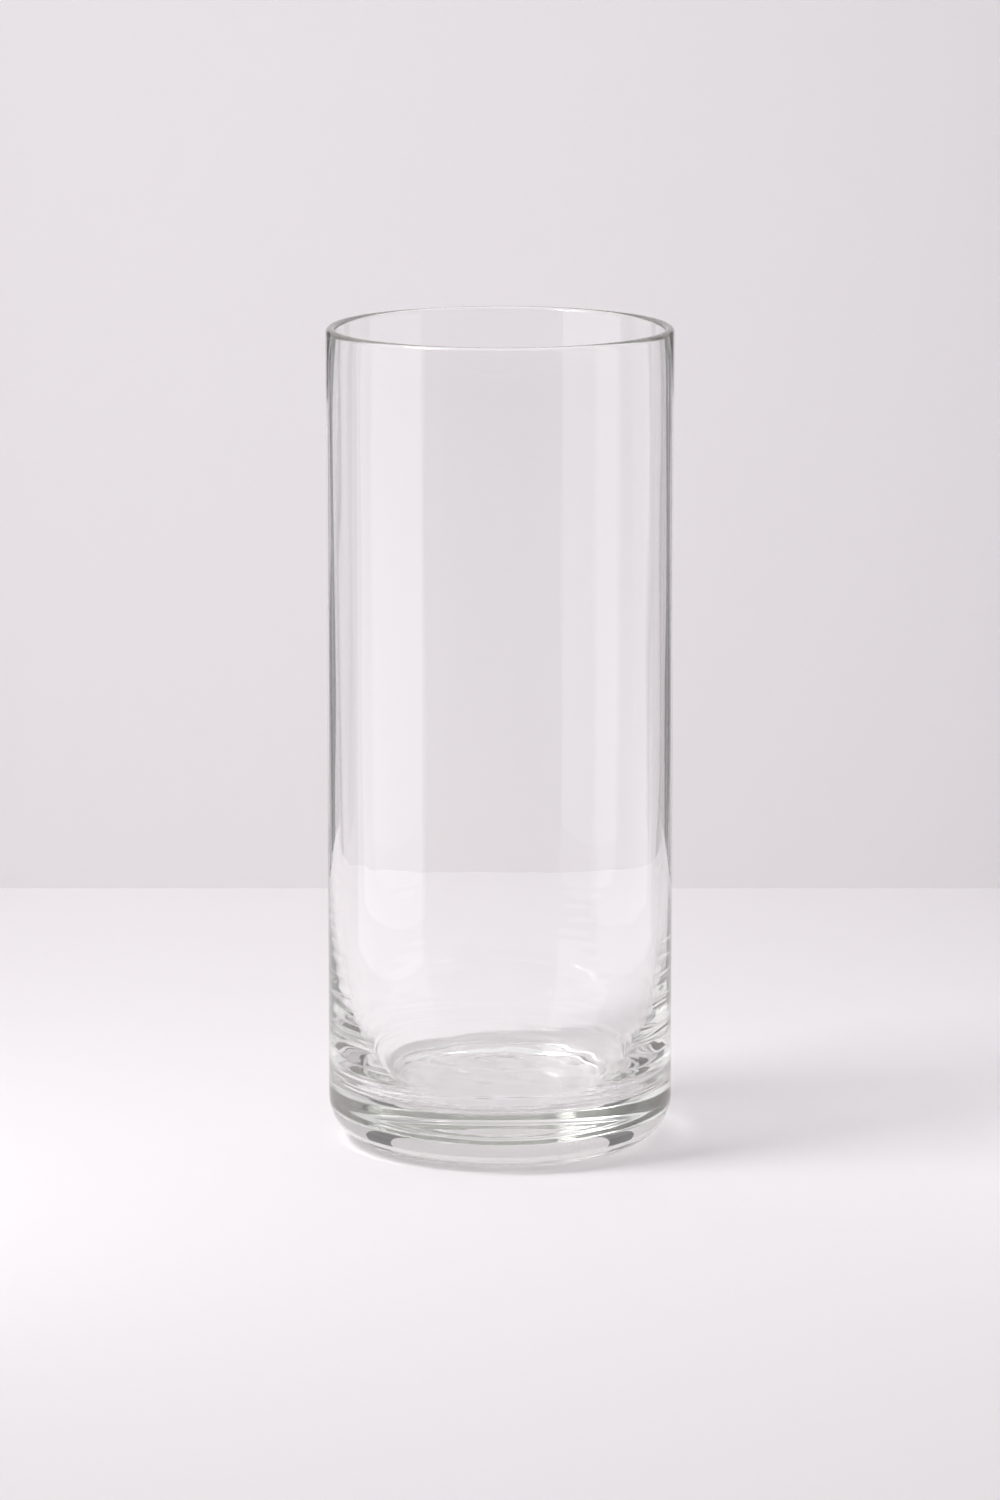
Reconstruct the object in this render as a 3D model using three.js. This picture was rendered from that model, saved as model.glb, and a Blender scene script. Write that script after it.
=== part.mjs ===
// A florist's glass cylinder vase: one piece of clear glass, turned about its own axis.
// Millimetres, +Z up. The origin is the centre of the foot, on the surface that the vase stands on.

import * as THREE from "three";

// Outside
const OUTER_DIAMETER = 100; // straight wall
const HEIGHT = 238; // foot to the top of the rim
const HEEL_RADIUS = 13; // rounding between the wall and the foot

// Wall, measured across the glass
const RIM_WALL = 2.9; // at the rim
const WALL_TAPER = 0.2; // thickens evenly by this much on the way down
const WALL_SWELL = 7; // and by this much more where it meets the inner corner
const SWELL_REACH = 16; // height in which the swell falls to 1 / e

// Base
const BASE_THICKNESS = 16; // foot to the inner floor
const INNER_CORNER_RADIUS = 6; // rounding between the inner wall and the inner floor
const DIMPLE_DIAMETER = 16; // shallow hollow at the middle of the inner floor
const DIMPLE_DEPTH = 0.2;
const FOOT_RING_WIDTH = 1.5; // flat ring that the vase stands on, inside the heel
const PUSH_UP_HEIGHT = 3; // how far the underside rises inside the foot ring
const PUSH_UP_POWER = 6; // of its profile: 2 is a parabola, more is flatter with a steeper edge

// How finely the surface is divided
const TURN_STEPS = 72;
const HEEL_STEPS = 8;
const RIM_STEPS = 8;
const CORNER_STEPS = 7;
const WALL_STEPS = 16;
const PUSH_UP_STEPS = 10;
const DIMPLE_STEPS = 3;

const RADIUS = OUTER_DIAMETER / 2;
const RIM_RADIUS = RIM_WALL / 2; // the melted rim is a full round
const WALL_TOP = HEIGHT - RIM_RADIUS;
const CORNER_TOP = BASE_THICKNESS + INNER_CORNER_RADIUS;
const FLOOR_RADIUS = RADIUS - wallAt(CORNER_TOP) - INNER_CORNER_RADIUS;
const FOOT_OUTER_RADIUS = RADIUS - HEEL_RADIUS;
const FOOT_INNER_RADIUS = FOOT_OUTER_RADIUS - FOOT_RING_WIDTH;

/** Points (radius, height) on an arc round (r, z), from one angle to another, both ends included. */
function arc(r, z, radius, from, to, steps) {
  return Array.from({ length: steps + 1 }, (_, i) => {
    const angle = from + ((to - from) * i) / steps;
    return new THREE.Vector2(r + radius * Math.cos(angle), z + radius * Math.sin(angle));
  });
}

/** A shallow dome's height above its edge, at r from its middle: it is height at 0 and nothing at reach. */
function dome(r, reach, height, power) {
  return height * (1 - (r / reach) ** power);
}

/** The glass between the outside and the cavity at a height on the wall. */
function wallAt(z) {
  const down = (WALL_TOP - z) / (WALL_TOP - CORNER_TOP);
  return RIM_WALL + WALL_TAPER * down + WALL_SWELL * Math.exp((CORNER_TOP - z) / SWELL_REACH);
}

/** The raised underside, from the axis out to the foot ring, in steps that shorten toward the ring. */
function underside() {
  return Array.from({ length: PUSH_UP_STEPS + 1 }, (_, i) => {
    const r = FOOT_INNER_RADIUS * Math.sqrt(i / PUSH_UP_STEPS);
    return new THREE.Vector2(r, dome(r, FOOT_INNER_RADIUS, PUSH_UP_HEIGHT, PUSH_UP_POWER));
  });
}

/** The inner wall between the rim and the inner corner, in steps that shorten toward the corner. */
function innerWall() {
  return Array.from({ length: WALL_STEPS - 1 }, (_, i) => {
    const z = CORNER_TOP + (WALL_TOP - CORNER_TOP) * (1 - (i + 1) / WALL_STEPS) ** 2;
    return new THREE.Vector2(RADIUS - wallAt(z), z);
  });
}

/** The inner floor from its flat ring to the dimple at the axis. */
function floorDimple() {
  const reach = DIMPLE_DIAMETER / 2;
  return Array.from({ length: DIMPLE_STEPS + 1 }, (_, i) => {
    const r = reach * (1 - i / DIMPLE_STEPS);
    return new THREE.Vector2(r, BASE_THICKNESS - dome(r, reach, DIMPLE_DEPTH, 2));
  });
}

/** The whole outline, anticlockwise from the underside's middle to the inner floor's middle. */
function outline() {
  return [
    ...underside(),
    ...arc(FOOT_OUTER_RADIUS, HEEL_RADIUS, HEEL_RADIUS, -Math.PI / 2, 0, HEEL_STEPS),
    ...arc(RADIUS - RIM_RADIUS, WALL_TOP, RIM_RADIUS, 0, Math.PI, RIM_STEPS),
    ...innerWall(),
    ...arc(FLOOR_RADIUS, CORNER_TOP, INNER_CORNER_RADIUS, 0, -Math.PI / 2, CORNER_STEPS),
    ...floorDimple(),
  ];
}

const clearGlass = new THREE.MeshStandardMaterial({
  color: "#e9efed",
  roughness: 0.03,
  metalness: 0,
  transparent: true,
  opacity: 0.3,
});

const vase = new THREE.Mesh(new THREE.LatheGeometry(outline(), TURN_STEPS), clearGlass);
vase.name = "glass_vase";
vase.rotation.x = Math.PI / 2; // a lathe turns about Y, and the vase stands along Z

const object = new THREE.Group();
object.add(vase);

export default object;
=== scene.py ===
"""A florist's glass cylinder vase: one piece of clear soda-lime glass, on a pale table before a pale wall.

The vase is one closed surface turned about the Z axis. Its outline is made of sections, from the middle of
the underside round the outside and over the rim to the middle of the inner floor, and the underside, heel,
inner wall, inner corner and inner floor add the small unevenness of hand-finished glass."""

import math

import bpy
import numpy as np
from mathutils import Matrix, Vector


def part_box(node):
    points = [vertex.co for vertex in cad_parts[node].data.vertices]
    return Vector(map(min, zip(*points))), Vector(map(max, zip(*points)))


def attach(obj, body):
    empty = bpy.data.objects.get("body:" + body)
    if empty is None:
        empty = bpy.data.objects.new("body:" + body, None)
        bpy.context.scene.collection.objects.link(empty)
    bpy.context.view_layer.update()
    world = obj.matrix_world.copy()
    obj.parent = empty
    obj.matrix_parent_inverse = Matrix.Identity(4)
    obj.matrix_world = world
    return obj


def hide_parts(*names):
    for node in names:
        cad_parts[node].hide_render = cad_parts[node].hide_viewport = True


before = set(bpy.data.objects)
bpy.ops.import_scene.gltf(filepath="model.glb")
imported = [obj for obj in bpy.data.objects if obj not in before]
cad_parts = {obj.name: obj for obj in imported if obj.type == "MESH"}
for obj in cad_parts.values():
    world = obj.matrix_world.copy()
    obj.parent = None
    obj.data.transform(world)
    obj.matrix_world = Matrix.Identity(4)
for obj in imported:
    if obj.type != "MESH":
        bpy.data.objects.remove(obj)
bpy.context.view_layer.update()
MM = 0.001

# The vase, in millimetres. Its diameter and height are the frame's own.
LOW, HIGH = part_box("glass_vase")
RADIUS = (HIGH[0] - LOW[0]) / 2 / MM
HEIGHT = (HIGH[2] - LOW[2]) / MM
HEEL_RADIUS = 13  # rounding between the wall and the foot
FOOT_RING_WIDTH = 1.5  # flat ring that the vase stands on
PUSH_UP_HEIGHT = 3  # rise of the underside inside the foot ring
PUSH_UP_POWER = 6  # of its profile: 2 is a parabola, more is flatter with a steeper edge
RIM_WALL = 2.9  # glass across the rim, a full round
WALL_TAPER = 0.2  # how much the wall thickens evenly on the way down
WALL_SWELL = 7  # how much more it thickens where it meets the inner corner
SWELL_REACH = 16  # height in which the swell falls to 1 / e
BASE_THICKNESS = 16  # foot to the inner floor
INNER_CORNER_RADIUS = 6  # rounding between the inner wall and the inner floor
DIMPLE_RADIUS = 8  # shallow hollow at the middle of the inner floor
DIMPLE_DEPTH = 0.2

# The unevenness of its surfaces, in millimetres
UNDERSIDE_WRINKLES = 0.08  # soft wrinkles left by the mould
HEEL_WAVES = 0.04  # soft waves round the heel
STREAKS = 0.012  # upright streaks of the inner wall
STREAK_FADE = 20  # height below the rim in which they fade out
RIPPLE_DEPTH = 0.03  # level ripples of the inner wall, deepest low down
RIPPLE_LENGTH = 4.0  # from one ripple to the next
RIPPLE_REACH = 18  # height in which they fall to 1 / e
RIPPLE_TOP = 95  # height on the vase where they end
CORNER_RINGS = 0.16  # rings along the inner corner
CORNER_RING_COUNT = 3.5
FLOOR_RINGS = 0.01  # rings of the inner floor
FLOOR_RING_LENGTH = 4.5  # from one of them to the next
FLOOR_WAVES = 0.012  # soft waves of the inner floor
DIMPLE_LIP = 0.08  # raised edge of the dimple
DIMPLE_LIP_WIDTH = 1.2

FOOT_OUTER_RADIUS = RADIUS - HEEL_RADIUS
FOOT_INNER_RADIUS = FOOT_OUTER_RADIUS - FOOT_RING_WIDTH
RIM_RADIUS = RIM_WALL / 2
CORNER_TOP = BASE_THICKNESS + INNER_CORNER_RADIUS
WALL_TOP = HEIGHT - RIM_RADIUS
FLOOR_RADIUS = RADIUS - RIM_WALL - WALL_TAPER - WALL_SWELL - INNER_CORNER_RADIUS

# How finely it is divided: steps round the axis, and rows of points in each section
TURN_STEPS = 288
UNDERSIDE_ROWS = 30
FOOT_ROWS = 4
HEEL_ROWS = 34
STRAIGHT_ROWS = 10
RIM_ROWS = 24
UPPER_WALL_ROWS = 16
LOWER_WALL_ROWS = 112
CORNER_ROWS = 36
FLOOR_ROWS = 52

# The room, in metres
TABLE_HALF = 3.0
TABLE_TOP = -0.00005  # a hair of air under the foot
WALL_DISTANCE = 0.3495  # the wall stands this far behind the vase's axis
WALL_HALF_WIDTH = 0.75
WALL_HEIGHT = 2.0
FLAG_DISTANCE = WALL_DISTANCE - 0.002  # grey flags stand just before the wall, seen only in the glass, where they paint dark edges
FLAG_NEAR = 0.165  # on both sides, from here
FLAG_FAR = 0.255  # to here, and darken the vase's upright edges
FLAG_HEIGHT = 0.3
CAMERA_PLACE = (0, -1.8909, 0.4723)
CAMERA_DOWN = 10.713  # degrees below level
CAMERA_LENS = 159.4  # millimetres, on a 36 mm sensor
LIGHT_BOUNCES = 128  # the base passes light on many times


def srgb(code):
    """Linear colour of an sRGB hex code such as "e9e3e5", as red, green, blue and 1."""
    parts = np.array([int(code[i:i + 2], 16) for i in (0, 2, 4)]) / 255
    linear = np.where(parts <= 0.04045, parts / 12.92, ((parts + 0.055) / 1.055) ** 2.4)
    return (*linear.tolist(), 1.0)


def add(tree, kind, links=None, **settings):
    """Adds a node. Settings name its properties or its input sockets, and links feed its inputs."""
    node = tree.nodes.new(kind)
    for name, value in settings.items():
        if hasattr(node, name):
            setattr(node, name, value)
        else:
            node.inputs[name.replace("_", " ")].default_value = value
    for name, source in (links or {}).items():
        tree.links.new(source, node.inputs[name])
    return node


def new_material(name):
    """An empty node material and its tree."""
    material = bpy.data.materials.new(name)
    material.use_nodes = True
    material.node_tree.nodes.clear()
    return material, material.node_tree


def waves(u, v, shortest, longest, count, seed):
    """Seeded soft noise over the plane (u, v), about -1 to 1: the sum of count sine waves with random
    directions and phases and with wavelengths between shortest and longest, over the root of count."""
    rng = np.random.default_rng(seed)
    total = 0
    for _ in range(count):
        way, phase = rng.uniform(0, 2 * math.pi, 2)
        pace = 2 * math.pi / rng.uniform(shortest, longest)
        total = total + np.sin(pace * (u * math.cos(way) + v * math.sin(way)) + phase)
    return total / math.sqrt(count)


def around(turn, counts, seed):
    """Seeded waves round the axis, about -1 to 1: the sum of sin(n * turn + phase) over the whole
    numbers n in counts, over the root of how many there are."""
    phases = np.random.default_rng(seed).uniform(0, 2 * math.pi, len(counts))
    return sum(np.sin(n * turn + phase) for n, phase in zip(counts, phases)) / math.sqrt(len(counts))


# Each section of the vase's outline takes the row of angles round the axis, and returns its radius and
# height in millimetres as two grids, one row per ring.

def underside(turn):
    """The underside inside the foot ring: a height of one less the sixth power of the radius's share,
    which is flat in the middle and steep at the ring, with soft wrinkles."""
    r = np.linspace(0, FOOT_INNER_RADIUS, UNDERSIDE_ROWS)[:, None] + 0 * turn
    share = r / FOOT_INNER_RADIUS
    wrinkles = waves(r * np.cos(turn), r * np.sin(turn), 7, 16, 9, 3)
    return r, (PUSH_UP_HEIGHT + UNDERSIDE_WRINKLES * wrinkles) * (1 - share ** PUSH_UP_POWER)


def foot_ring(turn):
    """The flat ring that the vase stands on."""
    r = np.linspace(FOOT_INNER_RADIUS, FOOT_OUTER_RADIUS, FOOT_ROWS)[:, None]
    return r + 0 * turn, 0 * r + 0 * turn


def heel(turn):
    """The rounding from the foot ring to the wall: a quarter circle, with a dent of the wave depth times
    sin squared of twice the angle, so that it is nothing at both ends."""
    angle = np.linspace(0, math.pi / 2, HEEL_ROWS)[:, None]
    dent = HEEL_WAVES * np.sin(2 * angle) ** 2
    dent = dent * (around(turn, (5, 9, 14), 5) + np.sin(7 * angle + 3 * np.sin(turn)))
    r = FOOT_OUTER_RADIUS + HEEL_RADIUS * np.sin(angle) - dent
    return r, HEEL_RADIUS * (1 - np.cos(angle)) + 0 * turn


def straight(turn):
    """The outside of the wall."""
    z = np.linspace(HEEL_RADIUS, WALL_TOP, STRAIGHT_ROWS)[:, None]
    return RADIUS + 0 * z + 0 * turn, z + 0 * turn


def rim(turn):
    """The fire-polished rim, a half circle."""
    angle = np.linspace(0, math.pi, RIM_ROWS)[:, None]
    r = RADIUS + RIM_RADIUS * (np.cos(angle) - 1)
    return r + 0 * turn, WALL_TOP + RIM_RADIUS * np.sin(angle) + 0 * turn


def streaks(z, turn):
    """Upright streaks: seven to thirty-one waves round the axis, which lean by 0.002 radian a millimetre."""
    return STREAKS * around(turn + 0.002 * z, (7, 11, 17, 23, 31), 11)


def ripples(rise, turn):
    """Level ripples: a sine of the height over the inner corner whose phase and depth drift round the
    axis. The depth falls as exp(-rise / reach), and fades out just above the corner and at the top."""
    drift = 2.2 * around(turn, (1, 2, 3, 5), 17)
    depth = RIPPLE_DEPTH * np.exp(-rise / RIPPLE_REACH) * (0.7 + 0.3 * around(turn, (2, 3, 7), 19))
    depth = depth * np.clip(0.3 + rise / 12, 0, 1) * np.clip((RIPPLE_TOP - CORNER_TOP - rise) / 10, 0, 1)
    return depth * np.sin(2 * math.pi * rise / RIPPLE_LENGTH + drift)


def wall_inside(turn):
    """The inside of the wall: the glass is the rim's, plus an even taper, plus a swell that falls as
    exp(-rise / reach) above the inner corner. The streaks fade out below the rim."""
    z = np.concatenate([np.linspace(WALL_TOP, RIPPLE_TOP, UPPER_WALL_ROWS, endpoint=False),
                        np.linspace(RIPPLE_TOP, CORNER_TOP, LOWER_WALL_ROWS)])[:, None]
    down = (WALL_TOP - z) / (WALL_TOP - CORNER_TOP)
    rise = z - CORNER_TOP
    glass = RIM_WALL + WALL_TAPER * down + WALL_SWELL * np.exp(-rise / SWELL_REACH)
    fade = np.clip((WALL_TOP - z) / STREAK_FADE, 0, 1)
    return RADIUS - glass - fade * streaks(z, turn) - ripples(rise, turn), z + 0 * turn


def corner(turn):
    """The rounding between the inner wall and the inner floor: a quarter circle whose radius swings as
    a sine along it, fading out at both ends, and which starts on the wall's own unevenness."""
    share = np.linspace(0, 1, CORNER_ROWS)[:, None]
    angle = share * math.pi / 2
    rings = np.sin(2 * math.pi * CORNER_RING_COUNT * share + 0.3 * around(turn, (1, 3, 4), 23))
    radius = INNER_CORNER_RADIUS + CORNER_RINGS * np.sin(math.pi * share) * rings
    start = (1 - share) ** 2 * (ripples(0, turn) + streaks(CORNER_TOP, turn))
    return FLOOR_RADIUS + radius * np.cos(angle) - start, CORNER_TOP - radius * np.sin(angle)


def floor(turn):
    """The inner floor: flat, with faint rings and soft waves that fade out at its edge, and a parabolic
    dimple in the middle with a raised lip, exp(-(distance from its edge / width) ** 2)."""
    r = np.linspace(FLOOR_RADIUS, 0, FLOOR_ROWS)[:, None]
    share = r / FLOOR_RADIUS
    x, y = r * np.cos(turn), r * np.sin(turn)
    drift = 0.8 * waves(x, y, 30, 60, 5, 29)
    rings = FLOOR_RINGS * np.sin(2 * math.pi * r / FLOOR_RING_LENGTH + drift) * share
    soft = FLOOR_WAVES * waves(x, y, 8, 20, 12, 37)
    from_lip = r - DIMPLE_RADIUS + 0.6 * waves(x, y, 12, 25, 4, 31)
    lip = DIMPLE_LIP * np.exp(-(from_lip / DIMPLE_LIP_WIDTH) ** 2)
    hollow = DIMPLE_DEPTH * np.clip(1 - (r / DIMPLE_RADIUS) ** 2, 0, 1)
    inside_edge = np.clip((1 - share) * 6, 0, 1)
    return r + 0 * turn, BASE_THICKNESS - hollow + inside_edge * (rings + soft + lip)


def turned(name, sections, steps):
    """A closed surface round the axis. Each section gives grids (radius, height), one row per ring; the
    first row of the first section and the last row of the last are single points on the axis."""
    turn = np.linspace(0, 2 * math.pi, steps, endpoint=False)
    grids = [section(turn) for section in sections]
    r = np.concatenate([grids[0][0]] + [grid[0][1:] for grid in grids[1:]])
    z = np.concatenate([grids[0][1]] + [grid[1][1:] for grid in grids[1:]])
    ends = np.array([[0, 0, z[0].mean()], [0, 0, z[-1].mean()]])
    r, z = r[1:-1], z[1:-1]
    ring = np.stack([r * np.cos(turn), r * np.sin(turn), z], axis=-1).reshape(-1, 3)
    points = np.concatenate([ring, ends]) * MM
    rings = len(r)
    first, last = rings * steps, rings * steps + 1
    here = np.arange(steps)
    there = np.roll(here, -1)
    low = (np.arange(rings - 1) * steps)[:, None]
    quads = np.stack([low + here, low + there, low + steps + there, low + steps + here], axis=-1)
    quads = quads.reshape(-1, 4)
    top = (rings - 1) * steps
    start_fan = np.column_stack([np.full(steps, first), there, here])
    end_fan = np.column_stack([np.full(steps, last), top + here, top + there])
    mesh = bpy.data.meshes.new(name)
    mesh.from_pydata(points.tolist(), [], quads.tolist() + start_fan.tolist() + end_fan.tolist())
    mesh.shade_smooth()
    piece = bpy.data.objects.new(name, mesh)
    bpy.context.collection.objects.link(piece)
    return piece


def soda_lime_glass():
    """Clear soda-lime glass, blown or pressed and fire-polished. The light that crosses it is absorbed a
    little, least in green, which tints only the thick base."""
    material, tree = new_material("soda_lime_glass")
    shader = add(tree, "ShaderNodeBsdfPrincipled", Base_Color=(1, 1, 1, 1), Roughness=0.0, IOR=1.52,
                 Transmission_Weight=1.0)
    inside = add(tree, "ShaderNodeVolumeAbsorption", Color=(0.24, 0.25, 0.18, 1), Density=2.5)
    add(tree, "ShaderNodeOutputMaterial", {"Surface": shader.outputs[0], "Volume": inside.outputs[0]})
    return material


def plain(name, code):
    """A matt painted surface."""
    material, tree = new_material(name)
    shader = add(tree, "ShaderNodeBsdfPrincipled", Base_Color=srgb(code), Roughness=0.9)
    add(tree, "ShaderNodeOutputMaterial", {"Surface": shader.outputs[0]})
    return material


def one_sided(name, code):
    """A matt wall that is seen only from its front."""
    material, tree = new_material(name)
    shader = add(tree, "ShaderNodeBsdfPrincipled", Base_Color=srgb(code), Roughness=0.9)
    clear = add(tree, "ShaderNodeBsdfTransparent")
    side = add(tree, "ShaderNodeNewGeometry")
    faces = {0: side.outputs["Backfacing"], 1: shader.outputs[0], 2: clear.outputs[0]}
    mix = add(tree, "ShaderNodeMixShader", faces)
    add(tree, "ShaderNodeOutputMaterial", {"Surface": mix.outputs[0]})
    return material


def sheet(name, corners, material):
    """A flat stage surface with the given corners, in metres, anticlockwise as seen from its front."""
    mesh = bpy.data.meshes.new(name)
    mesh.from_pydata(corners, [], [(0, 1, 2, 3)])
    mesh.materials.append(material)
    obj = bpy.data.objects.new(name, mesh)
    bpy.context.collection.objects.link(obj)
    return obj


def softbox(name, width, height, watts, place, aim):
    """A flat soft light at place, turned to aim."""
    lamp = bpy.data.lights.new(name, "AREA")
    lamp.shape = "RECTANGLE"
    lamp.size, lamp.size_y, lamp.energy = width, height, watts
    obj = bpy.data.objects.new(name, lamp)
    bpy.context.collection.objects.link(obj)
    obj.location = place
    obj.rotation_euler = (Vector(aim) - Vector(place)).to_track_quat("-Z", "Y").to_euler()
    return obj


sections = (underside, foot_ring, heel, straight, rim, wall_inside, corner, floor)
vase = turned("glass_vase_body", sections, TURN_STEPS)
vase.data.materials.append(soda_lime_glass())
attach(vase, "root")
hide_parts("glass_vase")

w, z = TABLE_HALF, TABLE_TOP
sheet("table", [(-w, -w, z), (w, -w, z), (w, w, z), (-w, w, z)], plain("pale_table", "e8e4e6"))
w, y, top = WALL_HALF_WIDTH, WALL_DISTANCE, WALL_HEIGHT
sheet("wall", [(-w, y, z), (w, y, z), (w, y, top), (-w, y, top)], one_sided("pale_wall", "f1edef"))

# Grey cards that paint dark reflections along the vase's edges; only the glass sees them.
edge_shade_card = plain("painted_edge_shade", "787878")
for side in (-1, 1):
    near, far, y, top = side * FLAG_NEAR, side * FLAG_FAR, FLAG_DISTANCE, FLAG_HEIGHT
    flag = sheet("flag", [(near, y, 0), (far, y, 0), (far, y, top), (near, y, top)], edge_shade_card)
    # Only the glass sees the flags: they paint dark reflections and refractions onto the vase's upright
    # edges, light nothing and cast no shadow.
    flag.visible_camera = flag.visible_diffuse = flag.visible_shadow = False

softbox("key", 0.62, 0.62, watts=19.2, place=(-1.1, -0.42, 1.7), aim=(0, 0, 0.1))
softbox("left_card", 0.28, 0.45, watts=0.32, place=(-0.27, -0.07, 0.226), aim=(0, 0, 0.226))
softbox("right_card", 0.27, 0.45, watts=0.22, place=(0.28, -0.01, 0.226), aim=(0, 0, 0.226))
softbox("overhead", 1.4, 1.4, watts=4.2, place=(0, -0.2, 1.3), aim=(0, 0.1, 0))

world = bpy.data.worlds.new("room")
world.use_nodes = True
background = world.node_tree.nodes["Background"].inputs
background["Color"].default_value = (0.25, 0.25, 0.255, 1)
background["Strength"].default_value = 1.2

camera = bpy.data.cameras.new("camera")
camera.lens = CAMERA_LENS
camera.sensor_width = 36
eye = bpy.data.objects.new("camera", camera)
eye.location = CAMERA_PLACE
eye.rotation_euler = (math.radians(90 - CAMERA_DOWN), 0, 0)
bpy.context.collection.objects.link(eye)

scene = bpy.context.scene
scene.world = world
scene.camera = eye
scene.view_settings.view_transform = "Standard"
scene.cycles.blur_glossy = 0.0  # the glass lets sharp light through to the table
scene.cycles.max_bounces = scene.cycles.transmission_bounces = scene.cycles.glossy_bounces = LIGHT_BOUNCES
